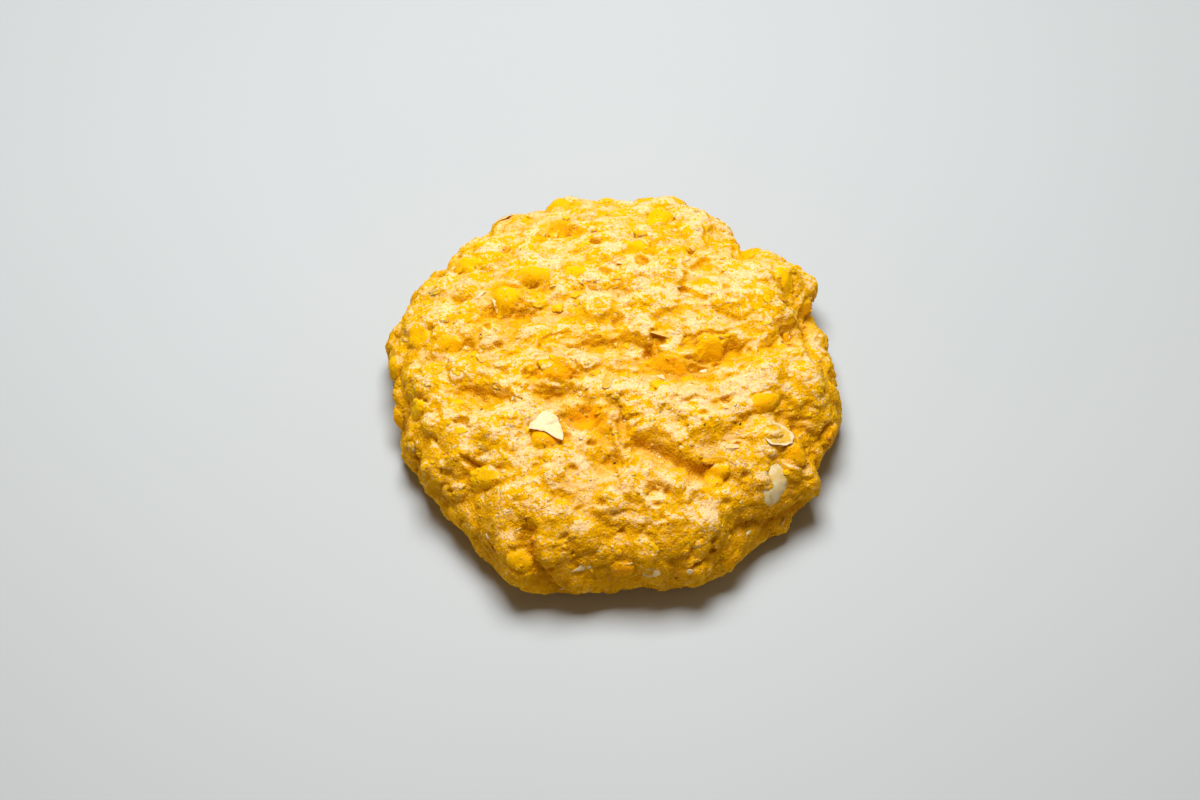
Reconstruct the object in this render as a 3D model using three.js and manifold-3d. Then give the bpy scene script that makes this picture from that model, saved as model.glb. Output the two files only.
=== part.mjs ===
import * as THREE from 'three';
import { mergeVertices } from 'three/addons/utils/BufferGeometryUtils.js';
import Module from 'manifold-3d';

// A hand-patted cake of corn dough, resting on a flat underside.
// Millimetres, +Z up, origin at the middle of the underside, front of the cake at -Y.

// Driving dimensions of the patty
const cakeRadius = 47.2;      // mean radius at the widest line
const cakeThickness = 23.2;   // before the lumps of the dough are added
const widestShare = 0.34;     // height of the widest line, as a share of the thickness
const footShare = 0.9;        // radius of the flat underside, as a share of the widest radius
const shoulderPower = 3.6;    // how square the shoulder is across
const crownPower = 2.1;       // how square it is upwards
const footFade = 4.5;         // height over which the relief dies away towards the underside

// Size of the dough's unevenness: feature size and how far it stands up
const swell = { size: 15, rise: 1.5 };
const ripple = { size: 6.2, rise: 1.4 };
const packed = { size: 7, reach: 0.76, rise: 1.7 };

// How finely the dough and the pieces in it are divided, and which kernels count as large
const doughDetail = 17;
const largeKernelDetail = 2;
const smallPieceDetail = 1;
const largeKernelLength = 7.9;

// The share of the ball of triangles that covers the top and side; the rest is the underside
const footPolar = THREE.MathUtils.degToRad(132);

// The rim's lobes: [degrees round from +X, how far out, half-width in degrees]
const lobes = [
  [8, -2.4, 6], [22, -1.8, 4], [32, 2.6, 7], [51, -2, 8], [73, 1.9, 8], [86, -1.6, 7],
  [98, 0.8, 6], [119, 1.2, 8], [150, 1, 8], [167, 1.6, 5], [191, -1.9, 10], [207, -1.5, 6],
  [225, -2.7, 12], [245, 3.2, 13], [260, 1, 5], [272, -1.4, 6], [290, 1.7, 8], [310, -0.9, 6],
  [329, 1.6, 6], [338, -0.7, 4],
];

// Heights across the cake's own section, from the widest line up and down
const widestHeight = cakeThickness * widestShare;
const crownHeight = cakeThickness - widestHeight;

function radiusAt(angle) {
  let radius = cakeRadius;
  for (const [degrees, out, halfWidth] of lobes) {
    const turn = THREE.MathUtils.radToDeg(angle) - degrees;
    const away = THREE.MathUtils.euclideanModulo(turn + 180, 360) - 180;
    radius += out * Math.exp(-((away / halfWidth) ** 2));
  }
  return radius;
}

// Half the cake's section, from the middle of the top over the side to the edge of the underside
const crownPart = 0.8;   // share of the curve's parameter that runs above the widest line

class SectionCurve extends THREE.Curve {
  getPoint(t, target = new THREE.Vector2()) {
    if (t < crownPart) {
      const turn = (t / crownPart) * Math.PI / 2;
      const across = Math.sin(turn) ** (2 / shoulderPower);
      const up = Math.max(Math.cos(turn), 0) ** (2 / crownPower);
      return target.set(cakeRadius * across, widestHeight + crownHeight * up);
    }
    const turn = ((t - crownPart) / (1 - crownPart)) * Math.PI / 2;
    const across = footShare + (1 - footShare) * Math.cos(turn);
    return target.set(cakeRadius * across, widestHeight * (1 - Math.sin(turn)));
  }
}

const sectionSteps = 200;
const section = new SectionCurve();
section.arcLengthDivisions = 3 * sectionSteps;

// Places on the smooth form, from above and on the side
function onTop(x, y) {
  const share = Math.min(Math.hypot(x, y) / radiusAt(Math.atan2(y, x)), 0.995);
  const up = (1 - share ** shoulderPower) ** (1 / crownPower);
  return new THREE.Vector3(x, y, widestHeight + crownHeight * up);
}

function onSide(degrees, height) {
  const angle = THREE.MathUtils.degToRad(degrees);
  const above = Math.max(height - widestHeight, 0) / crownHeight;
  const below = Math.max(widestHeight - height, 0) / widestHeight;
  const crownShare = (1 - above ** crownPower) ** (1 / shoulderPower);
  const tuckShare = footShare + (1 - footShare) * Math.sqrt(1 - below ** 2);
  const radius = radiusAt(angle) * Math.min(crownShare, tuckShare);
  return new THREE.Vector3(radius * Math.cos(angle), radius * Math.sin(angle), height);
}

// Creases and pits pressed into the dough. The wall on the left of the path, seen from outside,
// is the steep one.
const topPath = (...points) => points.map(([x, y]) => onTop(x, y));
const sidePath = (...points) => points.map(([degrees, height]) => onSide(degrees, height));
const steepShare = 0.62;
const creases = [
  // Across the top, from the left edge to the right
  { width: 2.6, depth: 1.6, path: topPath([-31, -9.4], [-26.5, -10.4], [-22, -12]) },
  { width: 2.2, depth: 1.3, path: topPath([-16.5, -6.6], [-12.5, -4.8], [-8, -7]) },
  { width: 2.6, depth: 2.4, path: topPath([-17.5, -10.2], [-13.5, -12], [-9, -10.6]) },
  { width: 3.6, depth: 3.1,
    path: topPath([-10, -17.6], [-5.5, -16], [-2.6, -18.5], [-1.4, -23], [-0.5, -26]) },
  { width: 2.4, depth: 1.7, path: topPath([1.6, -17.6], [1.8, -21], [0, -25]) },
  { width: 2.6, depth: 2.8, path: topPath([4.5, -23], [8, -24], [12, -26.6], [16, -28.6], [19.5, -28.8]) },
  { width: 3, depth: 2.2, path: topPath([-6, 0.6], [-1, 0.4], [3, 0.6], [7, -1.2]) },
  { width: 3, depth: 0.9, path: topPath([-2.6, 5.6], [0.4, 7.6]) },
  { width: 3.4, depth: 2.9,
    path: topPath([7, -1.2], [10, -3.2], [13.5, -5.6], [17.5, -4.4], [21, -1.4], [24.5, 0.6]) },
  { width: 2.6, depth: 1.5, path: topPath([24.5, 0.6], [29, 0.4], [33, 2.6], [37, 6.6]) },
  { width: 4, depth: 3.2, path: [...topPath([37, 6.6], [39.8, 10.4]), onSide(21, 12.4)] },
  { width: 4.2, depth: 2.6, path: topPath([39.8, 10.4], [38.8, 14], [38, 18.5]) },
  { width: 2.6, depth: 1.2, path: topPath([27, -16.8], [31, -15.4], [35, -16.4], [38.8, -19.4]) },
  { width: 2.6, depth: 2, path: topPath([-25.5, 10.4], [-22, 8.8], [-18.6, 9.4]) },
  { width: 2.2, depth: 1.2, path: topPath([-34, 14.4], [-30, 14]) },
  { width: 2, depth: 0.8, path: topPath([-19, 16], [-15, 15.4]) },
  { width: 2.2, depth: 1.3, path: topPath([-36, 0.6], [-31, 2]) },
  { width: 3, depth: 1.6, path: topPath([-14, 31.4], [-10, 32]) },
  // Small pits
  { width: 1.6, depth: 2, path: topPath([-31.6, -16.2], [-31, -16.6]) },
  { width: 1.5, depth: 1.4, path: topPath([2.8, 25], [3.6, 25]) },
  { width: 1.8, depth: 1.5, path: topPath([8, -33], [9, -33.2]) },
  { width: 1.6, depth: 1.2, path: topPath([-12, -35], [-11, -34.6]) },
  // Round the front and right sides, where the patty was folded and cracked
  { width: 3, depth: 0.9, path: topPath([-41.6, -19.6], [-39.6, -23.6], [-36.6, -27.4]) },
  { width: 2.6, depth: 0.9, path: topPath([-29.5, -30.4], [-25.5, -31.2], [-22, -30.6]) },
  { width: 2.4, depth: 2.2, path: sidePath([247, 17.2], [249, 14.6], [253, 10.3], [258, 4]) },
  { width: 2.6, depth: 2, path: sidePath([304, 13.3], [312, 9.8], [325, 6]) },
  { width: 2.8, depth: 2, path: [onSide(332, 6.5), ...topPath([40.8, -20.8], [38, -17])] },
  { width: 3, depth: 2, path: sidePath([276, 0], [277, 4]) },
  // Round the back and left sides
  { width: 2.6, depth: 1.6, path: sidePath([186, 13.5], [191, 12], [196, 7.7]) },
  { width: 3, depth: 1.8, path: sidePath([46, 17.2], [53, 10.2], [55, 4.5]) },
  { width: 2.8, depth: 1.7, path: sidePath([92, 6.8], [104, 10.8], [117, 7.9]) },
  { width: 2.6, depth: 1.7, path: sidePath([136, 5.7], [141, 12.4], [150, 16.5]) },
];

// Folds that stand up, in the same form: the curl of a husk, and pulp in the valley
const folds = [
  { width: 1.8, depth: 1.6,
    path: topPath([-10.2, -18.6], [-8.8, -15.6], [-5.6, -14.2], [-2.8, -15.4], [-1.6, -18.8]) },
  { width: 2.4, depth: 1.3, path: topPath([8.4, -2], [12.4, -3], [15.4, -5.8]) },
];

// Masses that stand higher: middle, half-length along X, half-width along Y, and rise
const masses = [
  { middle: onTop(0, -10.6), reach: [8, 4.5], rise: 1 },
  { middle: onTop(11, -14), reach: [9, 5], rise: 1.1 },
  { middle: onTop(20.5, -22), reach: [7, 5], rise: 0.9 },
  { middle: onTop(38, -4), reach: [8, 7], rise: 1.3 },
  { middle: onTop(27, -6), reach: [8, 4], rise: 0.7 },
  { middle: onTop(5, 19), reach: [11, 8], rise: 0.7 },
  { middle: onTop(29, 12.4), reach: [9, 7], rise: 0.8 },
  { middle: onTop(4, -36), reach: [13, 4], rise: 1.1 },
  { middle: onTop(15, -33), reach: [6, 4.5], rise: 0.7 },
  { middle: onTop(-27, -16), reach: [9, 5], rise: 0.5 },
  { middle: onTop(-26, -24), reach: [8, 4.5], rise: 0.7 },
  { middle: onTop(-10, -42), reach: [7, 4], rise: 0.8 },
  { middle: onTop(-39, -8), reach: [5, 6], rise: 0.8 },
];

// Whole and crushed kernels that stand out: [place, length, width, turn in degrees]
const kernels = [
  [onTop(-12.2, -5.8), 8, 6.8, -20], [onTop(20, 1), 6.2, 5.8, -8], [onTop(-22.8, 13.2), 6.6, 6.8, 12],
  [onTop(-16.6, 18.6), 7.4, 4.8, -10], [onTop(5.5, 25.9), 7, 4.2, -25], [onTop(-6, -17.2), 6.4, 4.6, 24],
  [onTop(-26.5, -28.4), 7.4, 5, 10], [onTop(21.1, -28.9), 5.6, 4.4, 35],
  [onTop(30.9, -12.2), 7.4, 4, 25], [onTop(37.6, -22.1), 6.4, 5, -40],
  [onTop(-14.3, -22.3), 7.4, 4.4, -6], [onTop(-8.2, 19.4), 5, 4.2, 0], [onTop(-12, 33.9), 5.4, 4.6, 40],
  [onTop(28.8, 28.3), 6, 4, -30], [onTop(36.8, 21.2), 6.4, 4.4, -50], [onTop(-41.4, 6.9), 6, 5.4, 80],
  [onTop(-40.9, -10.2), 5.6, 4.4, 30], [onTop(-34.4, 3.3), 5.4, 4, 0], [onTop(9.9, 35.9), 6.4, 5, 15],
  [onTop(-30.9, 24.2), 6, 5, -35], [onSide(272, 11.4), 5.2, 4.4, 10], [onSide(247, 12.8), 5.4, 4.6, -15],
  [onSide(300, 7.8), 5.8, 4.6, 20], [onSide(224, 7.8), 6, 4.8, -25], [onSide(344, 9.9), 5.6, 5, 35],
];
const kernelSunk = 0.82;        // share of a kernel's thickness that lies in the dough
const kernelFlatness = 0.62;    // thickness as a share of the width
const kernelTaper = 0.22;       // how much narrower the tip is than the middle
const kernelRoundness = 0.85;   // below 1 the crown is flatter than an egg's

// Kernels of the back and the far sides, spread by a rule: a golden turn apart, at uneven heights
const spread = { count: 16, from: 5, to: 195, low: 4.5, high: 16.5, length: [5, 7.6], width: 0.78 };
const goldenShare = (Math.sqrt(5) - 1) / 2;
for (let i = 0; i < spread.count; i++) {
  const degrees = THREE.MathUtils.lerp(spread.from, spread.to, (i + 0.5) / spread.count);
  const height = THREE.MathUtils.lerp(spread.low, spread.high, (i * goldenShare) % 1);
  const length = THREE.MathUtils.lerp(...spread.length, hash(i, 1, 0, 11));
  const turn = 140 * (hash(i, 2, 0, 11) - 0.5);
  kernels.push([onSide(degrees, height), length, length * spread.width, turn]);
}

// Pale skins: [place, length, width, turn in degrees, how high the near edge stands]
const skins = [
  [onTop(-14.2, -19.3), 8.2, 5.4, -20, 0.6], [onTop(33, -19), 7.8, 4.8, 5, 0.8],
  [onTop(-24.9, 12.2), 3.4, 2.4, -70, 0.4], [onTop(9.1, 3.3), 6.4, 3, -12, 0.3],
  [onTop(-1.4, -8.6), 4.8, 2.6, 80, 0.5], [onSide(262, 12.8), 5, 2.4, 12, 0.5],
  [onTop(32.5, -28.9), 9, 4.8, 41, 0.2],
];
const skinThickness = 1.2;
const skinCurl = 0.05;

// Smooth noise from hashed slopes at the corners of a grid of cubes
function hash(i, j, k, salt) {
  const wave = Math.sin(i * 127.1 + j * 311.7 + k * 74.7 + salt * 53.3) * 43758.5453;
  return wave - Math.floor(wave);
}

function noise(x, y, z) {
  const [i, j, k] = [Math.floor(x), Math.floor(y), Math.floor(z)];
  const ease = (t) => t * t * t * (t * (t * 6 - 15) + 10);
  let total = 0;
  for (let corner = 0; corner < 8; corner++) {
    const step = [corner & 1, (corner >> 1) & 1, corner >> 2];
    const [a, b, c] = [x - i - step[0], y - j - step[1], z - k - step[2]];
    const slope = [1, 2, 3].map((salt) => 2 * hash(i + step[0], j + step[1], k + step[2], salt) - 1);
    const weight = ease(1 - Math.abs(a)) * ease(1 - Math.abs(b)) * ease(1 - Math.abs(c));
    total += weight * (slope[0] * a + slope[1] * b + slope[2] * c);
  }
  return total;
}

// Rounded lumps packed side by side: one in each cube of the grid, off its middle
function packedLumps(x, y, z, reach) {
  const [i, j, k] = [Math.floor(x), Math.floor(y), Math.floor(z)];
  let highest = 0;
  for (let step = 0; step < 27; step++) {
    const cube = [i - 1 + (step % 3), j - 1 + (Math.floor(step / 3) % 3), k - 1 + Math.floor(step / 9)];
    const [a, b, c] = cube.map((start, axis) => start + 0.5 + 0.7 * (hash(...cube, 4 + axis) - 0.5));
    const near = 1 - ((x - a) ** 2 + (y - b) ** 2 + (z - c) ** 2) / reach ** 2;
    highest = Math.max(highest, near * (0.45 + 0.55 * hash(...cube, 7)));
  }
  return highest;
}

// How far a point of the smooth form moves out along its normal
const segment = new THREE.Line3();
const foot = new THREE.Vector3();
const aside = new THREE.Vector3();
const along = new THREE.Vector3();

function deepestOf(lines, point, normal) {
  let deepest = 0;
  for (const { path, width, depth } of lines) {
    for (let i = 1; i < path.length; i++) {
      segment.set(path[i - 1], path[i]);
      segment.closestPointToPoint(point, true, foot);
      aside.subVectors(point, foot);
      const left = segment.delta(along).cross(aside).dot(normal) > 0;
      const spread = left ? width * steepShare : width;
      const pressed = depth * Math.exp(-aside.lengthSq() / spread ** 2);
      deepest = Math.max(deepest, pressed);
    }
  }
  return deepest;
}

function massRise(point) {
  let total = 0;
  for (const { middle, reach, rise } of masses) {
    const far = ((point.x - middle.x) / reach[0]) ** 2 + ((point.y - middle.y) / reach[1]) ** 2;
    total += rise * Math.exp(-far);
  }
  return total;
}

function relief(point, normal) {
  const scaled = (size) => [point.x / size, point.y / size, point.z / size];
  const uneven = swell.rise * noise(...scaled(swell.size))
    + ripple.rise * noise(...scaled(ripple.size))
    + packed.rise * packedLumps(...scaled(packed.size), packed.reach);
  const fade = THREE.MathUtils.smoothstep(point.z, 0, footFade);
  const lines = deepestOf(folds, point, normal) - deepestOf(creases, point, normal);
  return fade * (uneven + massRise(point) + lines);
}

// The smooth form's point and outward normal at a share of the section and an angle round it
function smoothForm(share, angle) {
  const [across, height] = section.getPointAt(share).toArray();
  const [run, fall] = section.getTangentAt(share).toArray();
  const scale = radiusAt(angle) / cakeRadius;
  const [cosine, sine] = [Math.cos(angle), Math.sin(angle)];
  return {
    point: new THREE.Vector3(across * scale * cosine, across * scale * sine, height),
    normal: new THREE.Vector3(-fall * cosine, -fall * sine, run * scale).normalize(),
  };
}

// The dough: a ball of even triangles, its upper part laid over the section and the rest over
// the flat underside
function doughGeometry() {
  const ball = new THREE.IcosahedronGeometry(1, doughDetail);
  ball.deleteAttribute('normal');
  ball.deleteAttribute('uv');
  const geometry = mergeVertices(ball, 1e-5);
  const place = geometry.getAttribute('position');
  const direction = new THREE.Vector3();
  for (let i = 0; i < place.count; i++) {
    direction.fromBufferAttribute(place, i).normalize();
    const polar = Math.acos(THREE.MathUtils.clamp(direction.z, -1, 1));
    const angle = Math.atan2(direction.y, direction.x);
    if (polar < footPolar) {
      const { point, normal } = smoothForm(polar / footPolar, angle);
      point.addScaledVector(normal, relief(point, normal));
      place.setXYZ(i, point.x, point.y, Math.max(point.z, 0));
    } else {
      const inward = (Math.PI - polar) / (Math.PI - footPolar);
      const radius = radiusAt(angle) * footShare * inward;
      place.setXYZ(i, radius * Math.cos(angle), radius * Math.sin(angle), 0);
    }
  }
  return geometry;
}

// The frame of a piece lying on the dough: its middle, pushed in by so much, with its length
// along X turned about the outward normal
function lyingAt(place, turn, sunk) {
  const angle = Math.atan2(place.y, place.x);
  const shares = Array.from({ length: sectionSteps + 1 }, (_, step) => step / sectionSteps);
  const away = shares.map((share) => smoothForm(share, angle).point.distanceTo(place));
  const { point, normal } = smoothForm(shares[away.indexOf(Math.min(...away))], angle);
  const sideways = new THREE.Vector3(-Math.sin(angle), Math.cos(angle), 0);
  const steepness = THREE.MathUtils.smoothstep(1 - normal.z, 0.15, 0.6);
  const across = new THREE.Vector3(1, 0, 0).lerp(sideways, steepness);
  across.addScaledVector(normal, -across.dot(normal)).normalize();
  across.applyAxisAngle(normal, THREE.MathUtils.degToRad(turn));
  const upward = new THREE.Vector3().crossVectors(normal, across);
  const middle = point.clone().addScaledVector(normal, relief(point, normal) - sunk);
  return new THREE.Matrix4().makeBasis(across, upward, normal).setPosition(middle);
}

// A kernel: a rounded tooth, wide at the crown and narrower at the tip
function kernelGeometry([place, length, width, turn]) {
  const detail = length > largeKernelLength ? largeKernelDetail : smallPieceDetail;
  const geometry = new THREE.IcosahedronGeometry(1, detail);
  const at = geometry.getAttribute('position');
  const thickness = kernelFlatness * width;
  for (let i = 0; i < at.count; i++) {
    const taper = 1 - kernelTaper * at.getX(i);
    const up = Math.sign(at.getZ(i)) * Math.abs(at.getZ(i)) ** kernelRoundness;
    at.setXYZ(i, at.getX(i) * length / 2, at.getY(i) * taper * width / 2, up * thickness / 2);
  }
  return geometry.applyMatrix4(lyingAt(place, turn, (kernelSunk - 0.5) * thickness));
}

// A skin: a thin rounded flake, bent like a shell, with its near edge lifted off the dough
function skinGeometry([place, length, width, turn, lift]) {
  const geometry = new THREE.IcosahedronGeometry(1, smallPieceDetail);
  const at = geometry.getAttribute('position');
  for (let i = 0; i < at.count; i++) {
    const [x, y] = [at.getX(i) * length / 2, at.getY(i) * width / 2];
    const bend = lift * 0.5 * (1 - at.getY(i)) - skinCurl * x * x;
    at.setXYZ(i, x, y, at.getZ(i) * skinThickness / 2 + bend);
  }
  return geometry.applyMatrix4(lyingAt(place, turn, skinThickness / 4));
}

// Joining the pieces into one solid
const wasm = await Module();
wasm.setup();

function solidFrom(geometry) {
  geometry.deleteAttribute('normal');
  geometry.deleteAttribute('uv');
  const merged = mergeVertices(geometry, 1e-4);
  const mesh = new wasm.Mesh({
    numProp: 3,
    vertProperties: new Float32Array(merged.getAttribute('position').array),
    triVerts: new Uint32Array(merged.getIndex().array),
  });
  return new wasm.Manifold(mesh);
}

function geometryFrom(solid) {
  const { vertProperties, triVerts } = solid.getMesh();
  const geometry = new THREE.BufferGeometry();
  geometry.setAttribute('position', new THREE.BufferAttribute(vertProperties, 3));
  geometry.setIndex(new THREE.BufferAttribute(triVerts, 1));
  geometry.computeVertexNormals();
  return geometry;
}

let solid = solidFrom(doughGeometry());
for (const kernel of kernels) {
  solid = solid.add(solidFrom(kernelGeometry(kernel)));
}
for (const skin of skins) {
  solid = solid.add(solidFrom(skinGeometry(skin)));
}

const dough = new THREE.MeshStandardMaterial({ color: 0xf2c04a, roughness: 0.7, metalness: 0 });
const cake = new THREE.Mesh(geometryFrom(solid), dough);
cake.name = 'cake';

const group = new THREE.Group();
group.add(cake);

export default group;
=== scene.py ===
import math

import bpy
import numpy as np
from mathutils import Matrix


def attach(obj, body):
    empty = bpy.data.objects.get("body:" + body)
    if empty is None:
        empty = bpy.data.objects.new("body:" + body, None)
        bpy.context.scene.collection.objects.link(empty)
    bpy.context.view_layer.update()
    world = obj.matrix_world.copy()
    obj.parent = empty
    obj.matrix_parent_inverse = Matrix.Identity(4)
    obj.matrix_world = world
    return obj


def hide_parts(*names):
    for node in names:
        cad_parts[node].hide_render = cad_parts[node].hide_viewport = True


# A hand-patted cake of corn dough, shown at the size of its solid.
# Shapes are worked out in millimetres and written to the meshes in metres.

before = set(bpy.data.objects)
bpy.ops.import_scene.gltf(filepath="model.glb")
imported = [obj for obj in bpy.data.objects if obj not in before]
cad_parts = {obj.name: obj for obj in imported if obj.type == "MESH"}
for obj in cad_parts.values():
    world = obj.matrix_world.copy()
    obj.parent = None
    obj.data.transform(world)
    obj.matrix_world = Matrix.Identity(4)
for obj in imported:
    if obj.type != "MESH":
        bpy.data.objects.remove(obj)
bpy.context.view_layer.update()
print("frame loaded")

metresPerMm = 0.001

# The patty's smooth form and its unevenness, with the same sizes as the solid
patty = {
    "radius": 47.2,
    "thickness": 23.2,
    "widestShare": 0.34,
    "footShare": 0.9,
    "shoulderPower": 3.6,
    "crownPower": 2.1,
    "footFade": 4.5,
    "swellSize": 15,
    "swellRise": 1.5,
    "rippleSize": 6.2,
    "rippleRise": 1.4,
    "packedSize": 7,
    "packedReach": 0.76,
    "packedRise": 1.7,
    "packedJitter": 0.7,
    "packedLowest": 0.45,
    "steepShare": 0.62,     # how much narrower a crease is on its steep side
    "topReach": 0.995,      # how near the rim a place on the top may lie
    "sectionSteps": 1600,
}
widestHeight = patty["thickness"] * patty["widestShare"]
crownHeight = patty["thickness"] - widestHeight

# The rim's lobes: degrees round from +X, how far out, half-width in degrees
lobes = [
    (8, -2.4, 6), (22, -1.8, 4), (32, 2.6, 7), (51, -2, 8), (73, 1.9, 8), (86, -1.6, 7),
    (98, 0.8, 6), (119, 1.2, 8), (150, 1, 8), (167, 1.6, 5), (191, -1.9, 10), (207, -1.5, 6),
    (225, -2.7, 12), (245, 3.2, 13), (260, 1, 5), (272, -1.4, 6), (290, 1.7, 8), (310, -0.9, 6),
    (329, 1.6, 6), (338, -0.7, 4),
]


# Smooth step: 0 before low, 1 after high, and 3t squared minus 2t cubed between
def smoothStep(value, low, high):
    t = np.clip((value - low) / (high - low), 0, 1)
    return t * t * (3 - 2 * t)


# The number at a share of the way from low to high
def between(low, high, share):
    return low + (high - low) * share


# A broad bell curve round a middle, with its reach along X and along Y
def bell(x, y, middleX, middleY, reachX, reachY):
    return np.exp(-(((x - middleX) / reachX) ** 2) - ((y - middleY) / reachY) ** 2)


# Vectors brought to length one
def unit(vectors):
    return vectors / np.linalg.norm(vectors, axis=-1, keepdims=True)


# A number from 0 to 1 for each cube of a grid: the fraction of a large sine
def hashed(i, j, k, salt):
    wave = np.sin(i * 127.1 + j * 311.7 + k * 74.7 + salt * 53.3) * 43758.5453
    return wave - np.floor(wave)


# Smooth noise: a hashed slope at each corner of the cube, blended with a fifth-power ease
def softNoise(x, y, z):
    i, j, k = np.floor(x), np.floor(y), np.floor(z)
    total = np.zeros_like(x)
    for corner in range(8):
        si, sj, sk = corner & 1, (corner >> 1) & 1, corner >> 2
        a, b, c = x - i - si, y - j - sj, z - k - sk
        weight = 1.0
        for part in (a, b, c):
            t = 1 - np.abs(part)
            weight = weight * t * t * t * (t * (t * 6 - 15) + 10)
        slopes = [2 * hashed(i + si, j + sj, k + sk, salt) - 1 for salt in (1, 2, 3)]
        total += weight * (slopes[0] * a + slopes[1] * b + slopes[2] * c)
    return total


# Rounded lumps side by side: one point in each cube, one minus its squared distance
def packedLumps(x, y, z, reach):
    jitter, lowest = patty["packedJitter"], patty["packedLowest"]
    i, j, k = np.floor(x), np.floor(y), np.floor(z)
    highest = np.zeros_like(x)
    for step in range(27):
        ci, cj, ck = i - 1 + step % 3, j - 1 + step // 3 % 3, k - 1 + step // 9
        a, b, c = [start + 0.5 + jitter * (hashed(ci, cj, ck, 4 + axis) - 0.5)
                   for axis, start in enumerate((ci, cj, ck))]
        near = 1 - ((x - a) ** 2 + (y - b) ** 2 + (z - c) ** 2) / reach ** 2
        highest = np.maximum(highest, near * between(lowest, 1, hashed(ci, cj, ck, 7)))
    return highest


# The rim's radius at an angle: the mean radius and a bell curve for each lobe
def rimRadius(angle):
    radius = np.full_like(angle, patty["radius"])
    for degrees, out, halfWidth in lobes:
        away = (np.degrees(angle) - degrees + 180) % 360 - 180
        radius += out * np.exp(-((away / halfWidth) ** 2))
    return radius


# Half the section by arc length: a superellipse down to the widest line, a quarter ellipse below
def measureSection():
    turn = np.linspace(0, np.pi / 2, patty["sectionSteps"] + 1)
    acrossUpper = np.sin(turn) ** (2 / patty["shoulderPower"])
    upUpper = np.clip(np.cos(turn), 0, 1) ** (2 / patty["crownPower"])
    turn = turn[4::4]       # fewer steps below
    acrossLower = patty["footShare"] + (1 - patty["footShare"]) * np.cos(turn)
    across = patty["radius"] * np.concatenate([acrossUpper, acrossLower])
    height = np.concatenate([widestHeight + crownHeight * upUpper, widestHeight * (1 - np.sin(turn))])
    steps = np.hypot(np.diff(across), np.diff(height))
    run = np.concatenate([[0], np.cumsum(steps)])
    return run / run[-1], across, height, run[-1]


sectionShare, sectionAcross, sectionHeight, sectionLength = measureSection()
slopeShare = np.linspace(0.0005, 0.9995, 1000)
slopeRun = np.gradient(np.interp(slopeShare, sectionShare, sectionAcross))
slopeFall = np.gradient(np.interp(slopeShare, sectionShare, sectionHeight))


# The smooth form's points and outward normals at shares of the section and angles round it
def smoothForm(share, angle):
    across = np.interp(share, sectionShare, sectionAcross)
    height = np.interp(share, sectionShare, sectionHeight)
    run = np.interp(share, slopeShare, slopeRun)
    fall = np.interp(share, slopeShare, slopeFall)
    scale = rimRadius(angle) / patty["radius"]
    point = np.stack([across * scale * np.cos(angle), across * scale * np.sin(angle), height], -1)
    normal = np.stack([-fall * np.cos(angle), -fall * np.sin(angle), run * scale], -1)
    return point, unit(normal)


# A place on the smooth form above x and y: the height of the superellipse there
def onTop(x, y):
    share = min(math.hypot(x, y) / rimRadius(np.array([math.atan2(y, x)]))[0], patty["topReach"])
    up = (1 - share ** patty["shoulderPower"]) ** (1 / patty["crownPower"])
    return np.array([x, y, widestHeight + crownHeight * up])


# A place on its side at an angle and a height: the section's reach there, times the rim's radius
def onSide(degrees, height):
    angle = math.radians(degrees)
    above = max(height - widestHeight, 0) / crownHeight
    below = max(widestHeight - height, 0) / widestHeight
    crownShare = (1 - above ** patty["crownPower"]) ** (1 / patty["shoulderPower"])
    tuckShare = patty["footShare"] + (1 - patty["footShare"]) * math.sqrt(1 - below ** 2)
    radius = rimRadius(np.array([angle]))[0] * min(crownShare, tuckShare)
    return np.array([radius * math.cos(angle), radius * math.sin(angle), height])


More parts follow.
